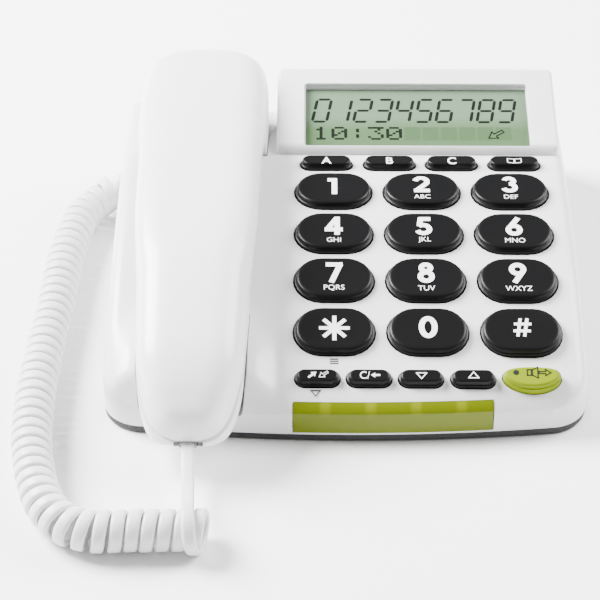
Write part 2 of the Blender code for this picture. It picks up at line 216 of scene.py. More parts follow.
coil_radius = (COIL_OUTER - STRAND_THICK) / 2
strand = [(p, Vector((1, 0, 0))) for p in lead_points]
UP, FRONT = Vector((0, 0, 1)), Vector((0, -1, 0))
end_loop = smooth_line([Vector(p) for p in ((-58.1, 9.2), (-56.9, 9.2), (-54.2, 7.1), (-52.9, 6.8), (-53.9, 6.75))], 5)
for k, (x, radius) in enumerate(end_loop[:-1]):
    angle = 2 * pi * k / (len(end_loop) - 1)
    strand.append((at(x, -61, 8.2) + radius * MM * (cos(angle) * UP + sin(angle) * FRONT), Vector((1, 0, 0))))
step_index = 0
for k in range(turn_count * TURN_POINTS + 1):
    share = k / (turn_count * TURN_POINTS) * travelled
    while step_index < len(coil_line) - 1 and coil_line[step_index + 1][0] <= share:
        step_index += 1
    before, centre, along = coil_line[step_index]
    angle = 2 * pi * k / TURN_POINTS
    sideways = along.cross(UP).normalized() * -1
    radius = coil_radius * (1 + 0.02 * sin(0.37 * k / TURN_POINTS) + 0.012 * sin(2.3 * k / TURN_POINTS))
    spot = centre + along * (share - before) + radius * (cos(angle) * UP + sin(angle) * sideways)
    strand.append((spot, -along))
strand += [(at(*p), Vector((-1, 0, 0))) for p in (
    (-98.9, 160.0, 17.4), (-98.5, 159.2, 15.4), (-98.4, 160.0, 13.4), (-98.4, 161.2, 12.0))]
cord_route = [p for p, across in strand]
cord_outlines = []
for k, (spot, across) in enumerate(strand):
    before, after = cord_route[max(k - 1, 0)], cord_route[min(k + 1, len(strand) - 1)]
    cord_outlines.append(strand_outline(spot, (after - before).normalized(), across))
cord_vinyl = plastic("cord_vinyl", (0.68, 0.68, 0.68), roughness=0.38, grain=0.02, tint=0.02)
curly = piece("curly_cord_strand", sweep(cord_outlines), cord_vinyl, 50)

clear_plastic = bpy.data.materials.new("clear_polycarbonate")
clear_plastic.use_nodes = True
clear_shader = clear_plastic.node_tree.nodes["Principled BSDF"]
clear_shader.inputs["Base Color"].default_value = (0.93, 0.95, 0.93, 1)
clear_shader.inputs["Roughness"].default_value = 0.08
clear_shader.inputs["Transmission Weight"].default_value = 0.85
clear_shader.inputs["IOR"].default_value = 1.5
contact_gold = plastic("contact_gold", (0.75, 0.55, 0.2), roughness=0.25, grain=0.01)
contact_gold.node_tree.nodes["Principled BSDF"].inputs["Metallic"].default_value = 1.0


def block(low, high, round_edge=0.0003):
    """A box between two corners with softened edges."""
    bm = bmesh.new()
    bmesh.ops.create_cube(bm, size=1)
    bmesh.ops.scale(bm, vec=high - low, verts=bm.verts)
    bmesh.ops.translate(bm, vec=(low + high) / 2, verts=bm.verts)
    if round_edge:
        bmesh.ops.bevel(bm, geom=bm.edges[:], offset=round_edge, segments=3, profile=0.5, affect="EDGES", material=-1)
    return bm


def plug(node, name, body, toward):
    """A clear modular plug with four gold contacts in its nose. toward is the way it is pushed in."""
    low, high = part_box(node)
    low.y = max(low.y, front_edge - 20 * MM)
    shell = piece(name, block(low, high), clear_plastic)
    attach(shell, body)
    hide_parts(node)
    side = Vector((abs(toward.y), abs(toward.x), 0))
    middle, reach = (low + high) / 2, (high - low).dot(Vector(map(abs, toward))) / 2
    contacts = bmesh.new()
    for k in range(4):
        spot = middle + side * (k - 1.5) * 0.0011 + toward * (reach - 0.0022)
        one = bmesh.ops.create_cube(contacts, size=1)["verts"]
        thick = Vector((0.0004, 0.0004, 0.0006)) + Vector(map(abs, toward)) * 0.0026
        bmesh.ops.scale(contacts, vec=thick, verts=one)
        bmesh.ops.translate(contacts, vec=Vector((spot.x, spot.y, high.z - 0.0004)), verts=one)
    gold = piece(name + "_contacts", contacts, contact_gold)
    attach(gold, body)
    return [shell, gold]


plug_pieces = plug("handset_plug", "handset_modular_plug", "handset", Vector((0, 1, 0)))
plug_pieces += plug("base_plug", "base_modular_plug", "base", Vector((1, 0, 0)))
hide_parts("curly_cord", "handset_lead", "base_lead")
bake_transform(curly)

# Base bottom shell. A dark grey ABS tray that shows as a thin strip right round the foot of the
# telephone. Four rubber feet are pressed into it and four screws hold it to the top shell.
BASE_HALF, BASE_DEPTH, BOW = 95.0, 200.0, 5.0


def face_height(y):
    """Height of the domed top face at y."""
    return 16.1 + 0.3822 * y - 0.00135 * y * y


def half_width(y):
    """Half width of the base at y, with its rounded front and back corners."""
    front = 82 + 13 * sqrt(1 - (1 - min(y, 16) / 16) ** 2)
    back = 87 + 8 * sqrt(1 - (1 - min(BASE_DEPTH - y, 9) / 9) ** 2)
    return min(front, back)


def bow(x, y):
    """How far the front edge curves back at x."""
    return BOW * (x / 82) ** 2 * max(0.0, 1 - y / 70) ** 2


def stations(low, high, step, soft):
    """Places along y from low to high, crowded together over the soft rounding at both ends."""
    ends = [soft * (1 - cos(0.5 * pi * k / 9)) for k in range(10)]
    middle = int((high - low - 2 * soft) / step)
    return ([low + e for e in ends] + [low + soft + (high - low - 2 * soft) * k / middle for k in range(1, middle)]
            + [high - e for e in reversed(ends)])


def rounded(x0, x1, z0, z1, top, bottom, steps=7):
    """Corners of a rounded rectangle as (x, z), from the lower left."""
    corners = ((x0 + bottom, z0 + bottom, bottom, pi), (x1 - bottom, z0 + bottom, bottom, 1.5 * pi),
               (x1 - top, z1 - top, top, 0), (x0 + top, z1 - top, top, 0.5 * pi))
    return [(cx + r * cos(a + 0.5 * pi * k / steps), cz + r * sin(a + 0.5 * pi * k / steps))
            for cx, cz, r, a in corners for k in range(steps + 1)]


def section(y, x0, x1, z0, z1, top, bottom=0.3, steps=7):
    return [at(x, y, z) for x, z in rounded(x0, x1, z0, z1, top, bottom, steps)]


def bend_front(bm, spacing=6):
    """Cuts the body into columns across x and curves its front edge back towards both sides."""
    for k in range(int(-90 / spacing), int(90 / spacing) + 1):
        bmesh.ops.bisect_plane(bm, geom=bm.verts[:] + bm.edges[:] + bm.faces[:], dist=1e-7,
                               plane_co=(k * spacing * MM, 0, 0), plane_no=(1, 0, 0))
    for vert in bm.verts:
        vert.co.y += bow(vert.co.x / MM, (vert.co.y - front_edge) / MM) * MM


def round_bar(x, y, radius, z0, z1, count=32):
    bm = bmesh.new()
    bmesh.ops.create_cone(bm, cap_ends=True, segments=count, radius1=radius * MM, radius2=radius * MM,
                          depth=(z1 - z0) * MM)
    bmesh.ops.translate(bm, vec=at(x, y, (z0 + z1) / 2), verts=bm.verts)
    return bm


def carve(target, tools, operation="DIFFERENCE"):
    """Cuts the tools from the target, or joins them to it, and leaves one plain mesh."""
    helpers = [piece("tool", bm, target.data.materials[0]) for bm in tools]
    for helper in helpers:
        cutting = target.modifiers.new(helper.name, "BOOLEAN")
        cutting.operation = operation
        cutting.solver = "EXACT"
        cutting.object = helper
    graph = bpy.context.evaluated_depsgraph_get()
    shaped = bpy.data.meshes.new_from_object(target.evaluated_get(graph))
    target.modifiers.clear()
    target.data = shaped
    for helper in helpers:
        bpy.data.objects.remove(helper)
    shaped.shade_smooth()
    shaped.set_sharp_from_angle(angle=radians(35))


def show(made, body, *nodes):
    """The piece rides on its body and stands for its CAD nodes."""
    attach(made, body)
    if nodes:
        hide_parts(*nodes)
    return made


strip_grey = plastic("strip_grey", (0.011, 0.011, 0.012), roughness=0.55, grain=0.12, grain_scale=900)
strip_low, strip_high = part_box("base_bottom_shell")
strip_bottom, strip_top = strip_low.z / MM - 0.6, strip_high.z / MM
tray = sweep([section(y, 0.15 - half_width(y), half_width(y) - 0.15, strip_bottom, strip_top, 0.4, 0.9)
              for y in stations(0, BASE_DEPTH, 12, 16)])
bend_front(tray)
tray_piece = piece("base_tray", tray, strip_grey)
foot_boxes = [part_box(f"foot_{k}") for k in range(1, 5)]
screw_boxes = [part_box(f"screw_{k}") for k in range(1, 5)]


def middle_of(corners):
    centre = (corners[0] + corners[1]) / 2
    return centre.x / MM, (centre.y - front_edge) / MM


carve(tray_piece, [round_bar(*middle_of(b), 6.3, -1, strip_bottom + 0.9) for b in foot_boxes])
carve(tray_piece, [round_bar(*middle_of(b), 3.2, -1, strip_bottom + 0.8) for b in screw_boxes])
show(tray_piece, "base", "base_bottom_shell")

foot_rubber = plastic("foot_rubber", (0.03, 0.03, 0.03), roughness=0.85, grain=0.3, grain_scale=600)
zinc_steel = plastic("zinc_steel", (0.6, 0.6, 0.62), roughness=0.3, grain=0.03, grain_scale=500)
zinc_steel.node_tree.nodes["Principled BSDF"].inputs["Metallic"].default_value = 1.0
for k, (low, high) in enumerate(foot_boxes, 1):
    x, y = middle_of((low, high))
    pad = round_bar(x, y, 6.0, low.z / MM, high.z / MM, 48)
    rims = [e for e in pad.edges if len(e.link_faces) == 2 and e.calc_face_angle(0) > 1]
    bmesh.ops.bevel(pad, geom=rims, offset=0.0004, segments=3, profile=0.5, affect="EDGES", material=-1)
    show(piece(f"rubber_foot_{k}", pad, foot_rubber), "base", f"foot_{k}")


def screw(name, x, y, z0, z1, head, body, node, shank=1.4):
    """A pan head screw, head down, with a cross recess."""
    outlines = [[at(x + r * cos(a), y + r * sin(a), z) for a in (2 * pi * k / 32 for k in range(32))]
                for z, r in ((z0, head - 0.5), (z0 + 0.15, head - 0.15), (z0 + 0.35, head), (z0 + 0.5, head),
                             (z0 + 0.5, shank), (z1 - 0.6, shank), (z1, shank * 0.5))]
    made = piece(name, sweep(outlines), zinc_steel)
    slots = [block(at(x - a, y - b, z0 - 1), at(x + a, y + b, z0 + 0.3), 0) for a, b in ((1.4, 0.25), (0.25, 1.4))]
    carve(made, slots)
    show(made, body, node)


for k, (low, high) in enumerate(screw_boxes, 1):
    screw(f"housing_screw_{k}", *middle_of((low, high)), low.z / MM, high.z / MM, 2.8, "base", f"screw_{k}")

# Base top shell. One white satin ABS moulding: a domed key face, a flat cradle on the left with a
# well for each end of the handset, and soft raised walls hugging the mouth end.
shell_white = plastic("shell_white", (0.72, 0.72, 0.72), roughness=0.34, grain=0.03, tint=0.015, coat=0.08)
HANDSET_X = -60.0
HANDSET_STATIONS = ((-21, 5, 15.5, 22), (-20.3, 8.5, 14.2, 25.5), (-18.5, 12, 13, 29), (-15, 15.2, 12.1, 32.6),
                    (-10, 17.6, 11.5, 37), (-3, 19.4, 11.3, 41.5), (6, 20.6, 11.3, 45.6), (20, 21.3, 11.3, 50.4),
                    (34, 21.9, 11.3, 54.6), (43, 22.2, 13.5, 57), (47, 22.6, 37, 57.9), (58, 23.4, 44, 60),
                    (78, 24.8, 48.5, 62.8), (100, 25.2, 50.5, 64.8), (122, 25.8, 51.5, 66), (136, 27, 50, 66.6),
                    (140, 27.3, 44.5, 66.8), (143, 27.4, 30, 66.9), (158, 27.8, 29.3, 67.2), (172, 27.6, 29.3, 67.1),
                    (182, 26.9, 29.3, 66.6), (188, 25.6, 30, 66), (193, 23.2, 32.5, 64.8), (196.5, 19.8, 39.5, 63.2),
                    (199.2, 15, 43.5, 61.2), (201.2, 9.5, 47, 58.8), (202, 5, 50, 56.6))
handset_line = smooth_line([Vector(s) for s in HANDSET_STATIONS], 4)


def shell_height(y):
    """Top of the shell at y: the domed face with its rounded front and back edges."""
    front = 3.5 * max(0.0, 1 - y / 16) ** 5
    back = 7.1 * (max(0.0, y - 185) / 15) ** 2.5
    return face_height(y) - front - back


def smooth_step(t):
    t = min(max(t, 0.0), 1.0)
    return t * t * (3 - 2 * t)


def saddle(x, y):
    """Extra height of the walls beside the mouth end of the handset."""
    along = smooth_step((y - 2) / 6) * (1 - smooth_step((y - 14) / 30))
    right = smooth_step((x + 40) / 2) * (1 - smooth_step((x + 37) / 12))
    left = smooth_step((-80 - x) / 2) * (1 - smooth_step((-83 - x) / 11))
    return along * 5.2 * max(right, left)


body_mesh = sweep([section(y, -half_width(y), half_width(y), strip_top + 0.2, shell_height(y),
                           min(6.0, 2 + y / 3, 2 + (BASE_DEPTH - y) / 3)) for y in stations(0, BASE_DEPTH, 3.2, 16)])
for x in (*range(-94, -78, 1), *range(-40, -24, 1)):
    bmesh.ops.bisect_plane(body_mesh, geom=body_mesh.verts[:] + body_mesh.edges[:] + body_mesh.faces[:], dist=1e-7,
                           plane_co=(x * MM, 0, 0), plane_no=(1, 0, 0))
for vert in body_mesh.verts:
    x, y, z = vert.co.x / MM, (vert.co.y - front_edge) / MM, vert.co.z / MM
    if z > 8:
        vert.co.z += saddle(x, y) * smooth_step((z - 8) / (shell_height(y) - 8)) * MM
bend_front(body_mesh)
top_shell = piece("base_body_shell", body_mesh, shell_white)

chamber = [section(y, -25.5, x1, -5, top, 3, 0.4) for y, x1, top in
           [(3.0, 76, 10.4), (5.0, 82, 13.4), (8, 87, face_height(8) - 3.4)]
           + [(y, 92.6, face_height(y) - 2.4) for y in range(16, 185, 12)] + [(190, 91.5, 36), (197.6, 88, 30)]]
under_cradle = [section(y, x0, -28.5, -5, top, 1, 0.4) for y, x0, top in
                ((7, -74, 6.5), (14, -90, 8.4), (50, -92.5, 8.4), (52, -92.5, 27), (66, -92.5, 33),
                 (130, -92.5, 33), (134, -92.5, 26.4), (190, -92.5, 26.4), (197.5, -88, 26.4))]
chamber_mesh, cradle_mesh = sweep(chamber), sweep(under_cradle)
bend_front(chamber_mesh)
carve(top_shell, [chamber_mesh, cradle_mesh])


def handset_half(y):
    """Half width of the handset at y. Behind its widest place it keeps that width."""
    y = min(y, 172)
    for near, far in zip(handset_line, handset_line[1:]):
        if near[0] <= y <= far[0]:
            return near[1] + (far[1] - near[1]) * (y - near[0]) / (far[0] - near[0])
    return 5.0


def well(y0, y1, floor_z, room, spread=0.0):
    """A pocket that follows the handset with a little room round it, open above. It spreads to the right behind."""
    outlines = []
    for k in range(25):
        y = y0 + (y1 - y0) * k / 24
        half = handset_half(y) + room
        x1 = HANDSET_X + half + spread * smooth_step((y - y0 - 15) / 14)
        outlines.append(section(y, HANDSET_X - half, x1, floor_z, 75, 0.5, 2.5))
    return sweep(outlines)


carve(top_shell, [well(-4, 43, 11.0, 0.15), well(139.5, 202, 29.0, 0.3, 3.6)])
lens_low, lens_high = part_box("indicator_lens")
plunger_x, plunger_y = middle_of(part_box("hook_plunger"))
lens_slot = block(at(lens_low.x / MM - 0.3, -6, 4.2), at(lens_high.x / MM + 0.3, 3.7, 30), 0)
bend_front(lens_slot)
carve(top_shell, [lens_slot,
                  round_bar(plunger_x, plunger_y, 5.4, 20, 35),
                  block(at(-97, 155, 4.8), at(-88, 168, 18), 0.0006),
                  block(at(20, 194, 8), at(35, 205, 22), 0.0006)])

# Keys. Glossy black caps standing in close holes, each with a lower skirt, a bevelled rim and a
# slightly dished top. The legends are white and sit a hair above the face.
key_black = plastic("key_black", (0.0034, 0.0034, 0.0037), roughness=0.33, grain=0.05, grain_scale=1100)
key_black.node_tree.nodes["Principled BSDF"].inputs["Specular IOR Level"].default_value = 0.14
key_lime = plastic("key_lime", (0.16, 0.215, 0.0001), roughness=0.34, grain=0.04, grain_scale=1100)
key_lime.node_tree.nodes["Principled BSDF"].inputs["Specular IOR Level"].default_value = 0.08
legend_white = plastic("legend_white", (0.9, 0.9, 0.9), roughness=0.4, grain=0.01)
legend_black = plastic("legend_black", (0.004, 0.0045, 0.003), roughness=0.4, grain=0.01)
KEY_LAYERS = ((-4.2, 1.0), (-3.2, 1.0), (-3.2, 0), (0.7, 0), (0.9, -0.05), (1.0, -0.18), (1.04, -0.42),
              (1.12, -0.52), (2.2, -0.72), (2.55, -0.9), (2.8, -1.25), (2.94, -1.75), (3.0, -2.4), (2.99, -3.2),
              (2.97, -4.0), (2.95, -5.0))


def pill(width, height, out, steps=12):
    """Outline of an oval key: a slab with fully round ends."""
    half, radius = width / 2 + out, height / 2 + out
    middle = half - radius
    return [((middle if side > 0 else -middle) + radius * cos(a), radius * sin(a))
            for side, start in ((1, -0.5 * pi), (-1, 0.5 * pi))
            for a in (start + pi * k / steps for k in range(steps + 1))]


def half_moon(width, height, out, steps=20):
    """Outline of the speaker key: nearly straight behind, a half ellipse in front."""
    half, low, back = width / 2 + out, height * 0.62 + out, height * 0.38 + out
    return ([(-half * cos(pi * k / steps), -low * sin(pi * k / steps)) for k in range(steps + 1)]
            + [(half * cos(a), back * sin(a) ** 0.7) for a in (pi * k / 12 for k in range(1, 12))])


def on_face(x, y):
    """Frame on the key face: z is the outward normal."""
    return Matrix.Translation(at(x, y, face_height(y))) @ Matrix.Rotation(atan(0.3822 - 0.0027 * y), 4, "X")


def cap(node, x, y, outline, size, finish, layers=KEY_LAYERS):
    frame_here = on_face(x, y)
    rings = [[frame_here @ (Vector((u, v, z)) * MM) for u, v in outline(*size, out)] for z, out in layers]
    return show(piece("cap_" + node, sweep(rings), finish, 32), node, node)


def lay_on(name, bm, x, y, body, finish, lift=2.95):
    """A flat sign laid on the key face, raised by lift millimetres."""
    bmesh.ops.transform(bm, matrix=on_face(x, y) @ Matrix.Translation((0, 0, lift * MM)), verts=bm.verts)
    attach(piece(name, bm, finish), body)


def lettering(words, height, bold=0.0, u=0.0, v=0.0, wide=1.0):
    """Raised letters centred on (u, v), height millimetres tall, narrowed by wide."""
    data = bpy.data.curves.new("lettering", "FONT")
    data.body = words
    data.align_x = "CENTER"
    data.align_y = "CENTER"
    data.offset = bold
    data.extrude = 0.008
    data.resolution_u = 6
    holder = bpy.data.objects.new("lettering", data)
    bpy.context.collection.objects.link(holder)
    mesh = bpy.data.meshes.new_from_object(holder.evaluated_get(bpy.context.evaluated_depsgraph_get()))
    bpy.data.objects.remove(holder)
    bm = bmesh.new()
    bm.from_mesh(mesh)
    bmesh.ops.remove_doubles(bm, verts=bm.verts, dist=1e-5)
    size = height / 0.7 * MM
    tall = [vert.co.y for vert in bm.verts]
    across = [vert.co.x for vert in bm.verts]
    centre = Vector(((max(across) + min(across)) / 2, (max(tall) + min(tall)) / 2, 0))
    bmesh.ops.translate(bm, vec=-centre, verts=bm.verts)
    bmesh.ops.scale(bm, vec=(size * wide, size, size), verts=bm.verts)
    bmesh.ops.translate(bm, vec=(u * MM, v * MM, 0), verts=bm.verts)
    return bm


def sign(bm, corners, stroke=0.0, thick=0.1):
    """A flat shape through corners in millimetres. With a stroke it is an outline of bars of that width."""
    if stroke:
        spots = [Vector(c) for c in corners]
        for a, b in zip(spots, spots[1:] + spots[:1]):
            way = (b - a).normalized() * stroke / 2
            side = Vector((-way.y, way.x))
            sign(bm, (a - way - side, b + way - side, b + way + side, a - way + side), thick=thick)
        return bm
    face = bm.faces.new([bm.verts.new((u * MM, v * MM, 0)) for u, v in corners])
    raised = bmesh.ops.extrude_face_region(bm, geom=[face])["geom"]
    bmesh.ops.translate(bm, vec=(0, 0, thick * MM), verts=[v for v in raised if isinstance(v, bmesh.types.BMVert)])
    return bm


def turned(corners, angle, u=0.0, v=0.0, size=1.0):
    return [(u + size * (x * cos(angle) - y * sin(angle)), v + size * (x * sin(angle) + y * cos(angle)))
            for x, y in corners]


def arc(u, v, radius, start, stop, tall=1.0, count=22):
    return [(u + radius * cos(a), v + radius * tall * sin(a))
            for a in (radians(start + (stop - start) * k / count) for k in range(count + 1))]


FIGURES = {
    "0": [arc(0.345, 0.5, 0.24, 0, 360, 1.65, 36)], "1": [[(0.38, 0), (0.38, 1)], [(0.12, 0.9), (0.4, 0.9)]],
    "2": [arc(0.33, 0.67, 0.23, 170, -38) + [(0.15, 0.13)], [(0.04, 0.1), (0.65, 0.1)]],
    "3": [arc(0.32, 0.72, 0.18, 165, -90), arc(0.32, 0.32, 0.22, 90, -165)],
    "4": [[(0.46, 0.94), (0.1, 0.32)], [(0.0, 0.3), (0.68, 0.3)], [(0.47, 0), (0.47, 1)]],
    "5": [[(0.16, 0.9), (0.6, 0.9)], [(0.22, 0.95), (0.18, 0.5)], arc(0.32, 0.33, 0.23, 135, -160)],
    "6": [arc(0.34, 0.31, 0.22, 0, 360), [(0.52, 0.98), (0.16, 0.42)]],
    "7": [[(0.04, 0.9), (0.66, 0.9)], [(0.58, 0.92), (0.24, 0)]],
    "8": [arc(0.345, 0.74, 0.17, 0, 360), arc(0.345, 0.31, 0.215, 0, 360)],
    "9": [arc(0.34, 0.69, 0.22, 0, 360), [(0.54, 0.6), (0.2, 0.02)]],
    "#": [[(0.17, 0.08), (0.3, 0.92)], [(0.42, 0.08), (0.55, 0.92)], [(0.06, 0.66), (0.7, 0.66)],
          [(0.02, 0.34), (0.66, 0.34)]]}


def figure(digit, height, weight, rise):
    """A bold figure drawn with a broad pen, height millimetres tall, as thin raised strokes."""
    bm = bmesh.new()
    for layer, path in enumerate(FIGURES[digit]):
        top = 0.12 + 0.012 * layer
        line = [Vector(((u - 0.345) * height, (v - 0.5) * height + rise)) for u, v in path]
        outlines = []
        for k, spot in enumerate(line):
            way = (line[min(k + 1, len(line) - 1)] - line[max(k - 1, 0)]).normalized()
            if k in (0, len(line) - 1) and (line[0] - line[-1]).length < 0.01:
                way = (line[1] - line[-2]).normalized()
            side = Vector((-way.y, way.x)) * weight / 2
            outlines.append([Vector((*(spot + s * side), h)) * MM for s, h in ((-1, 0), (1, 0), (1, top), (-1, top))])
        stroke = sweep(outlines)
        bmesh.ops.recalc_face_normals(stroke, faces=stroke.faces)
        part = bpy.data.meshes.new("stroke")
        stroke.to_mesh(part)
        stroke.free()
        bm.from_mesh(part)
        bpy.data.meshes.remove(part)
    return bm


NUMBER_KEYS = (("key_1", "1", ""), ("key_2", "2", "ABC"), ("key_3", "3", "DEF"), ("key_4", "4", "GHI"),
               ("key_5", "5", "JKL"), ("key_6", "6", "MNO"), ("key_7", "7", "PQRS"), ("key_8", "8", "TUV"),
               ("key_9", "9", "WXYZ"), ("key_star", "", ""), ("key_0", "0", ""), ("key_hash", "#", ""))
COLUMNS, ROWS = (-4.3, 32.6, 69.5), (112.7, 85.9, 59.7, 34.0)
for k, (node, digit, letters) in enumerate(NUMBER_KEYS):
    x, y = COLUMNS[k % 3], ROWS[k // 3]
    cap(node, x, y, pill, (32.0, 22.4), key_black)
    if digit:
        rise = 2.1 if letters else 0.6
        lay_on(node + "_digit", figure(digit, *((10.8, 2.2) if digit != "#" else (10.6, 1.25)), rise), x, y, node,
               legend_white)
    if letters:
        lay_on(node + "_letters", lettering(letters, 2.7, -0.004, 0, -6.1, 0.93), x, y, node, legend_white)
star_corners = []
for arm in range(8):
    star_corners += turned(((6.0, -0.8), (6.0, 0.8)), arm * pi / 4)
    star_corners += turned(((0.8 / sin(pi / 8), 0),), (arm + 0.5) * pi / 4)
lay_on("key_star_sign", sign(bmesh.new(), star_corners), COLUMNS[0], ROWS[3], "key_star", legend_white)

MEMORY_PLACES, MEMORY_Y = (-7.2, 19.6, 46.0, 72.6), 132.8
SMALL_LAYERS = KEY_LAYERS[:9] + ((2.6, -0.85), (2.85, -1.1), (2.97, -1.45), (3.0, -1.9), (2.98, -2.5))
for x, node, letter in zip(MEMORY_PLACES, ("key_memory_a", "key_memory_b", "key_memory_c", "key_phonebook"), "ABC "):
    cap(node, x, MEMORY_Y, pill, (21.9, 8.4), key_black, SMALL_LAYERS)
    if letter != " ":
        lay_on(node + "_letter", lettering(letter, 4.8, 0.012, 0, -1.1, 0.85), x, MEMORY_Y, node,
               legend_white, 3.1)
book = bmesh.new()
for side in (-1, 1):
    sign(book, [(side * u, v) for u, v in ((0.15, -1.5), (2.9, -1.1), (2.9, 1.9), (0.15, 1.5))][::side], 0.34)
lay_on("key_phonebook_sign", book, MEMORY_PLACES[3], MEMORY_Y - 1.1, "key_phonebook", legend_white, 3.0)

SMALL_PLACES, SMALL_Y = (-10.9, 9.2, 29.4, 49.6), 12.8
ARROW = ((-2.4, -0.5), (0.2, -0.5), (0.2, -1.5), (2.4, 0), (0.2, 1.5), (0.2, 0.5), (-2.4, 0.5))
for x, node in zip(SMALL_PLACES, ("key_redial", "key_clear", "key_down", "key_up")):
    cap(node, x, SMALL_Y, pill, (17.4, 7.4), key_black, SMALL_LAYERS)
redial = sign(bmesh.new(), turned(ARROW, radians(40), -2.0, 0.1, 0.85))
sign(redial, turned(ARROW, radians(215), 2.3, 0.2, 0.85), 0.26)
lay_on("key_redial_sign", redial, SMALL_PLACES[0], SMALL_Y, "key_redial", legend_white, 3.0)
lay_on("key_clear_letter", lettering("C/", 3.4, 0.0, -1.7, 0, 0.85), SMALL_PLACES[1], SMALL_Y, "key_clear", legend_white, 3.0)
lay_on("key_clear_sign", sign(bmesh.new(), turned(ARROW, pi, 2.4, 0, 0.75)), SMALL_PLACES[1], SMALL_Y, "key_clear",
       legend_white, 3.0)
TRIANGLE = ((-2.0, -1.1), (2.0, -1.1), (0, 1.6))
for x, node, angle in ((SMALL_PLACES[2], "key_down", pi), (SMALL_PLACES[3], "key_up", 0)):
    lay_on(node + "_sign", sign(bmesh.new(), turned(TRIANGLE, angle, 0, 0, 1.0), 0.36), x, SMALL_Y, node, legend_white, 3.0)

SPEAKER_PLACE = (72.5, 13.9)
cap("key_speaker", *SPEAKER_PLACE, half_moon, (22.8, 10.4), key_lime, SMALL_LAYERS)
speaker_sign = bmesh.new()
sign(speaker_sign, ((-1.5, -1.3), (0.1, -1.3), (0.1, 1.3), (-1.5, 1.3)), 0.45)
sign(speaker_sign, ((0.4, -1.2), (2.6, -2.5), (2.6, 2.5), (0.4, 1.2)), 0.45)
sign(speaker_sign, turned(ARROW, 0, 5.4, 0, 0.95), 0.4)
lay_on("key_speaker_sign", speaker_sign, SPEAKER_PLACE[0] - 0.6, SPEAKER_PLACE[1] + 0.3, "key_speaker", legend_black, 3.0)
dot = bmesh.new()
bmesh.ops.create_cone(dot, cap_ends=True, segments=24, radius1=1.15 * MM, radius2=1.15 * MM, depth=0.12 * MM)
lay_on("key_speaker_dot", dot, SPEAKER_PLACE[0] - 6.4, SPEAKER_PLACE[1] + 0.3, "key_speaker", legend_black, 3.0)

key_tools = []
for k, (node, digit, letters) in enumerate(NUMBER_KEYS):
    key_tools.append((COLUMNS[k % 3], ROWS[k // 3], pill, (32.0, 22.4)))
key_tools += [(x, MEMORY_Y, pill, (21.9, 8.4)) for x in MEMORY_PLACES]
key_tools += [(x, SMALL_Y, pill, (17.4, 7.4)) for x in SMALL_PLACES]
key_tools.append((*SPEAKER_PLACE, half_moon, (22.8, 10.4)))
holes = []
for x, y, outline, size in key_tools:
    here = on_face(x, y)
    holes.append(sweep([[here @ (Vector((u, v, z)) * MM) for u, v in outline(*size, out)]
                        for z, out in ((-5, 0.4), (-0.35, 0.4), (0, 0.62), (0.5, 1.0), (4, 1.0))]))
carve(top_shell, holes)
show(top_shell, "base", "base_top_shell")
print_grey = plastic("print_grey", (0.025, 0.025, 0.026), roughness=0.5, grain=0.0, tint=0.0)
menu_mark = bmesh.new()
for k in (-1, 0, 1):
    sign(menu_mark, ((-1.7, k - 0.32), (1.7, k - 0.32), (1.7, k + 0.32), (-1.7, k + 0.32)), thick=0.05)
lay_on("printed_menu_mark", menu_mark, -4.4, 20.7, "base", print_grey, 0)
lay_on("printed_redial_mark", sign(bmesh.new(), turned(TRIANGLE, pi, 0, 0, 0.9), 0.42, 0.05), -11.6, 6.9, "base",
       print_grey, 0)

# Display. A raised white panel snapped onto the key face, a clear window let into it and a green
# reflective liquid crystal behind, with dark segments on two rows.
BEZEL = (-28.6, 92.7, 141.0, 192.0)
BEZEL_FRONT_Z, BEZEL_SLOPE = 46.715, 0.206
WINDOW_X, WINDOW_Y, WINDOW_SIZE = 32.1, 161.75, (97.0, 38.5)


def panel_section(y):
    x0, x1, y0, y1 = BEZEL
    corner = 3.0
    near = min(y - y0, y1 - y, corner) / corner
    inset = corner * (1 - sqrt(max(0.0, 1 - (1 - near) ** 2)))
    drop = 2.2 * (1 - min((y - y0) / 3, 1)) ** 2.4 + 1.2 * (1 - min((y1 - y) / 3, 1)) ** 2.2
    top = BEZEL_FRONT_Z + BEZEL_SLOPE * (y - y0) - drop
    foot_z = face_height(y) - 1.6
    return section(y, x0 + inset, x1 - inset, foot_z, top, min(1.8, (top - foot_z) * 0.45), 0.15)


bezel = piece("display_panel", sweep([panel_section(y) for y in stations(BEZEL[2], BEZEL[3], 6, 4)]), shell_white)
window_frame = (Matrix.Translation(at(WINDOW_X, WINDOW_Y, BEZEL_FRONT_Z + BEZEL_SLOPE * (WINDOW_Y - BEZEL[2])))
                @ Matrix.Rotation(atan(BEZEL_SLOPE), 4, "X"))


def window_slab(width, height, layers, radius=1.2):
    return sweep([[window_frame @ (Vector((u, v, z)) * MM) for u, v in
                   rounded(-width / 2 - out, width / 2 + out, -height / 2 - out, height / 2 + out,
                           radius + out, radius + out, 5)] for z, out in layers])


carve(bezel, [window_slab(*WINDOW_SIZE, ((-1.8, 0.3), (-0.3, 0.3), (0, 0.55), (3, 0.9)))])
carve(bezel, [window_slab(96.6, 38.1, ((-30, 0), (3, 0)), 0.6)])
show(bezel, "base", "display_bezel")
window_glass = bpy.data.materials.new("display_window_acrylic")
window_glass.use_nodes = True
glass_shader = window_glass.node_tree.nodes["Principled BSDF"]
glass_shader.inputs["Base Color"].default_value = (0.03, 0.035, 0.03, 1)
glass_shader.inputs["Roughness"].default_value = 0.04
glass_shader.inputs["Alpha"].default_value = 0.03
glass_shader.inputs["Specular IOR Level"].default_value = 0.3
window = piece("display_window_pane", window_slab(*WINDOW_SIZE, ((-1.5, -0.15), (-1.35, 0), (-0.65, 0), (-0.5, -0.15))),
               window_glass)
show(window, "base", "display_window")

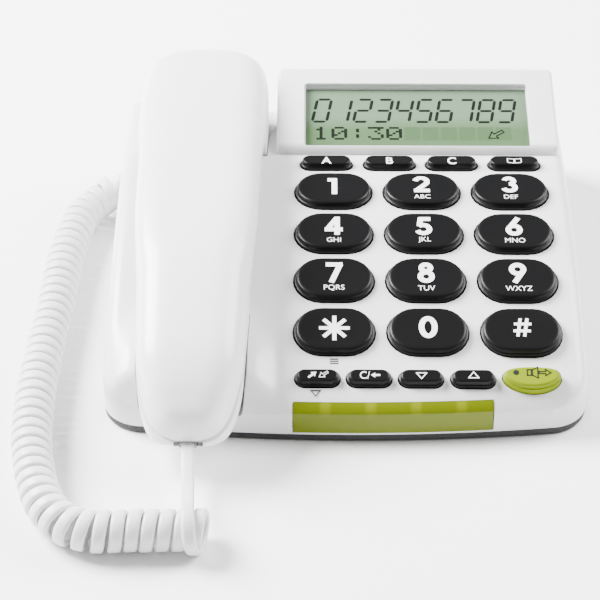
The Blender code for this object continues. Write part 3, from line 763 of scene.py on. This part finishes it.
crystal = plastic("liquid_crystal_green", (0.08, 0.14, 0.075), roughness=0.5, grain=0.0, tint=0.02)
tree = crystal.node_tree
crystal_place = tree.nodes.new("ShaderNodeTexCoord")
crystal_split = tree.nodes.new("ShaderNodeSeparateXYZ")
crystal_painted_light_ramp = tree.nodes.new("ShaderNodeMapRange")
crystal_painted_light_mix = tree.nodes.new("ShaderNodeMix")
crystal_painted_light_mix.data_type = "RGBA"
# The crystal is painted darker at the front and lighter towards the back: painted shade and painted light on what is
# one even green.
crystal_painted_light_mix.inputs["A"].default_value = (0.072, 0.126, 0.06, 1)
crystal_painted_light_mix.inputs["B"].default_value = (0.115, 0.175, 0.112, 1)
crystal_painted_light_ramp.inputs["From Min"].default_value = at(0, WINDOW_Y - 6, 0).y
crystal_painted_light_ramp.inputs["From Max"].default_value = at(0, WINDOW_Y + 2, 0).y
tree.links.new(crystal_place.outputs["Object"], crystal_split.inputs["Vector"])
tree.links.new(crystal_split.outputs["Y"], crystal_painted_light_ramp.inputs["Value"])
tree.links.new(crystal_painted_light_ramp.outputs["Result"], crystal_painted_light_mix.inputs["Factor"])
tree.links.new(crystal_painted_light_mix.outputs["Result"], tree.nodes["Principled BSDF"].inputs["Base Color"])
tree.nodes["Principled BSDF"].inputs["Specular IOR Level"].default_value = 0.05
module = piece("liquid_crystal_panel", window_slab(96.4, 37.9, ((-4.6, 0), (-3.2, 0)), 0.4), crystal)
show(module, "base", "lcd_module")

segment_ink = plastic("segment_ink", (0.006, 0.009, 0.006), roughness=0.6, grain=0.0, tint=0.0)
segment_ink.node_tree.nodes["Principled BSDF"].inputs["Specular IOR Level"].default_value = 0.05
SEGMENTS = {"0": "abcdef", "1": "bc", "2": "abged", "3": "abgcd", "4": "fgbc", "5": "afgcd", "6": "afgedc",
            "7": "abc", "8": "abcdefg", "9": "abcdfg"}
DIGIT_WIDE, DIGIT_TALL, STROKE, LEAN = 6.2, 14.2, 1.35, 0.16
BARS = {"a": (0, 2, 1, 2), "b": (1, 2, 1, 1), "c": (1, 1, 1, 0), "d": (0, 0, 1, 0), "e": (0, 1, 0, 0),
        "f": (0, 2, 0, 1), "g": (0, 1, 1, 1)}


def lay_in_window(name, bm, ink=segment_ink, lift=-3.19):
    bmesh.ops.transform(bm, matrix=window_frame @ Matrix.Translation((0, 0, lift * MM)), verts=bm.verts)
    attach(piece(name, bm, ink), "base")


row_of_digits = bmesh.new()
for place, digit in enumerate("0123456789"):
    left = -45.4 + place * 8.95
    for bar in SEGMENTS[digit]:
        a, b, c, d = BARS[bar]
        p, q = Vector((a * DIGIT_WIDE, b * DIGIT_TALL / 2)), Vector((c * DIGIT_WIDE, d * DIGIT_TALL / 2))
        way = (q - p).normalized()
        side = Vector((-way.y, way.x)) * STROKE / 2
        p, q = p + way * 0.35, q - way * 0.35
        corners = (p, p + way * STROKE / 2 + side, q - way * STROKE / 2 + side, q, q - way * STROKE / 2 - side,
                   p + way * STROKE / 2 - side)
        sign(row_of_digits, [(left + c.x + LEAN * c.y, -1.6 + c.y) for c in corners], thick=0.04)
lay_in_window("display_digits", row_of_digits)

DOTS = {"0": ("01110", "10001", "10011", "10101", "11001", "10001", "01110"),
        "1": ("00100", "01100", "00100", "00100", "00100", "00100", "01110"),
        "2": ("01110", "10001", "00001", "00010", "00100", "01000", "11111"),
        "3": ("11111", "00010", "00100", "00010", "00001", "10001", "01110"),
        "5": ("11111", "10000", "11110", "00001", "00001", "10001", "01110"),
        ":": ("00000", "00100", "00100", "00000", "00100", "00100", "00000"),
        "-": ("00000", "00000", "00000", "11111", "00000", "00000", "00000")}
clock_row, unlit_row = bmesh.new(), bmesh.new()
for place, letter in enumerate("10:30      "):
    for row in range(7):
        for column in range(5):
            lit = DOTS.get(letter, ("00000",) * 7)[row][column] == "1"
            u, v = -45 + place * 7.9 + column * 1.38, -6.0 - row * 1.16
            if lit or place > 4:
                sign(clock_row if lit else unlit_row,
                     ((u, v), (u + 1.33, v), (u + 1.33, v + 1.12), (u, v + 1.12)), thick=0.04)
lay_in_window("display_clock", clock_row)
unlit_ink = plastic("unlit_ink", (0.061, 0.112, 0.05), roughness=0.6, grain=0.0, tint=0.0)
unlit_ink.node_tree.nodes["Principled BSDF"].inputs["Specular IOR Level"].default_value = 0.05
lay_in_window("display_unlit_dots", unlit_row, unlit_ink)
lay_in_window("display_arrow", sign(bmesh.new(), turned(ARROW, radians(215), 34, -9.6, 1.6), 0.62, 0.06))

# Indicator lens. A translucent lime bar along the front edge, with a strip of four small lamps
# behind it that light it when the telephone rings.
lens_lime = plastic("lens_lime", (0.13, 0.16, 0.0004), roughness=0.2, grain=0.01, tint=0.05)
tree = lens_lime.node_tree
lens_shader = tree.nodes["Principled BSDF"]
lens_shader.inputs["Specular IOR Level"].default_value = 0.2
lens_place = tree.nodes.new("ShaderNodeTexCoord")
lens_split = tree.nodes.new("ShaderNodeSeparateXYZ")
# The lens is painted lighter in four patches on its top, over the lamps behind it, and stays darker on its front face:
# painted glow and painted light on a bar of one even lime.
lens_wave = tree.nodes.new("ShaderNodeMath")
lens_wave.operation = "MULTIPLY_ADD"
lens_wave.inputs[1].default_value = 2 * pi / 0.0176
lens_wave.inputs[2].default_value = 2 * pi * 0.0079 / 0.0176
lens_sine = tree.nodes.new("ShaderNodeMath")
lens_sine.operation = "COSINE"
lens_painted_glow = tree.nodes.new("ShaderNodeMapRange")
lens_painted_glow.inputs["From Min"].default_value = 0.55
lens_painted_glow.inputs["From Max"].default_value = 1.0
lens_painted_glow.interpolation_type = "SMOOTHSTEP"
lens_painted_top_light = tree.nodes.new("ShaderNodeMapRange")
lens_painted_top_light.inputs["From Min"].default_value = 0.0115
lens_painted_top_light.inputs["From Max"].default_value = 0.0160
lens_painted_top_light.interpolation_type = "SMOOTHSTEP"
lens_both = tree.nodes.new("ShaderNodeMath")
lens_both.operation = "MULTIPLY"
lens_painted_light_mix = tree.nodes.new("ShaderNodeMix")
lens_painted_light_mix.data_type = "RGBA"
lens_painted_light_mix.inputs["A"].default_value = (0.118, 0.15, 0.0002, 1)
lens_painted_light_mix.inputs["B"].default_value = (0.185, 0.215, 0.003, 1)
link = tree.links.new
link(lens_place.outputs["Object"], lens_split.inputs["Vector"])
link(lens_split.outputs["X"], lens_wave.inputs[0])
link(lens_wave.outputs["Value"], lens_sine.inputs[0])
link(lens_sine.outputs["Value"], lens_painted_glow.inputs["Value"])
link(lens_split.outputs["Z"], lens_painted_top_light.inputs["Value"])
link(lens_painted_glow.outputs["Result"], lens_both.inputs[0])
link(lens_painted_top_light.outputs["Result"], lens_both.inputs[1])
link(lens_both.outputs["Value"], lens_painted_light_mix.inputs["Factor"])
link(lens_painted_light_mix.outputs["Result"], lens_shader.inputs["Base Color"])
lens_x0, lens_x1 = lens_low.x / MM, lens_high.x / MM
lens_mesh = sweep([section(y, lens_x0, lens_x1, 4.2, top, 0.5, 0.3) for y, top in
                   ((0.02, 12.9), (0.15, 13.4), (0.5, 14.0), (1.0, 14.6), (1.6, 15.2), (2.4, 15.9), (3.4, 16.6))])
bend_front(lens_mesh, 4)
show(piece("indicator_lens_bar", lens_mesh, lens_lime), "base", "indicator_lens")

# Handset. Two white ABS shells joined along a seam that shows round the mouth end. The back is a
# long crowned arch; the underside has an ear cap and a mouth cap with their sound holes.
# The handset is painted a lighter white (0.82) than the base shell's same white ABS (0.72): painted light.
handset_white_painted_lighter = plastic("handset_white_painted_lighter", (0.82, 0.82, 0.82), roughness=0.3, grain=0.02, tint=0.012, coat=0.12)
def handset_outline(y, half, low, high, points=56):
    """A crowned section: a high arch above the widest line and a squarer bowl below it."""
    low = max(low, 11.3 if y < 60 else 29.3)
    waist = max(high - 15, low + 0.25 * (high - low))
    outline = []
    for k in range(points):
        a = 2 * pi * k / points
        c, s = cos(a), sin(a)
        across = half * (abs(c) ** (0.55 if s > 0 else 0.24)) * (1 if c > 0 else -1)
        up = (high - waist) * s ** 0.74 if s > 0 else -(waist - low) * abs(s) ** 0.5
        outline.append(at(HANDSET_X + across, y, waist + up))
    return outline


def seam_height(y):
    """Height of the joint between the two handset shells."""
    return 16 + 0.5859 * (y + 21) - 0.002004 * (y + 21) ** 2


def seam_block(low, high):
    return sweep([[at(-100, y, seam_height(y) + low), at(-20, y, seam_height(y) + low),
                   at(-20, y, seam_height(y) + high), at(-100, y, seam_height(y) + high)]
                  for y in range(-30, 212, 4)])


sound_holes = []
for k in range(18):
    ring_radius, angle = (3.2, k * pi / 3) if k < 6 else (6.6, k * pi / 6)
    sound_holes.append(round_bar(HANDSET_X + ring_radius * cos(angle), 170 + ring_radius * sin(angle), 0.8, 27, 33, 12))
for k in range(3):
    sound_holes.append(round_bar(HANDSET_X - 3 + 3 * k, 12, 0.8, 9, 14, 12))
for name, limits, node in (("handset_back_shell", (-70, 0.12), "handset_top_shell"),
                           ("handset_ear_shell", (-0.12, 70), "handset_bottom_shell")):
    lip = 0.8 if node == "handset_top_shell" else 0.0
    outlines = [handset_outline(y + lip * smooth_step((8 - y) / 16), half - lip * smooth_step((8 - y) / 16), low, high)
                for y, half, low, high in handset_line]
    shell = piece(name, sweep(outlines), handset_white_painted_lighter)
    carve(shell, [seam_block(*limits)])
    if node == "handset_bottom_shell":
        carve(shell, [block(at(-66, -30, 10.8), at(-54, -10, 16.2), 0.0004)])
        carve(shell, sound_holes)
    show(shell, "handset", node)

# Works inside the two housings: jacks, switch, plunger, key mat, boards, speakers and weight. They
# are standard bought parts or plain mouldings, and hardly show from outside.
board_green = plastic("board_green", (0.02, 0.17, 0.07), roughness=0.35, grain=0.1, grain_scale=700)
part_black = plastic("part_black", (0.03, 0.03, 0.032), roughness=0.45, grain=0.08)
mat_grey = plastic("mat_silicone", (0.3, 0.3, 0.3), roughness=0.75, grain=0.1)
for node, finish in (("key_mat", mat_grey), ("main_board", board_green), ("indicator_led_strip", board_green),
                     ("loudspeaker", part_black), ("hook_switch", part_black), ("hook_plunger", part_black),
                     ("line_jack", part_black), ("handset_jack", part_black), ("handset_socket", part_black),
                     ("earpiece_speaker", part_black), ("microphone", part_black), ("handset_weight", zinc_steel)):
    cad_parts[node].data.materials.clear()
    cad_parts[node].data.materials.append(finish)
for k in (1, 2):
    low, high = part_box(f"handset_screw_{k}")
    screw(f"handset_joining_screw_{k}", *middle_of((low, high)), low.z / MM, high.z / MM, 1.7, "handset",
          f"handset_screw_{k}", 1.1)
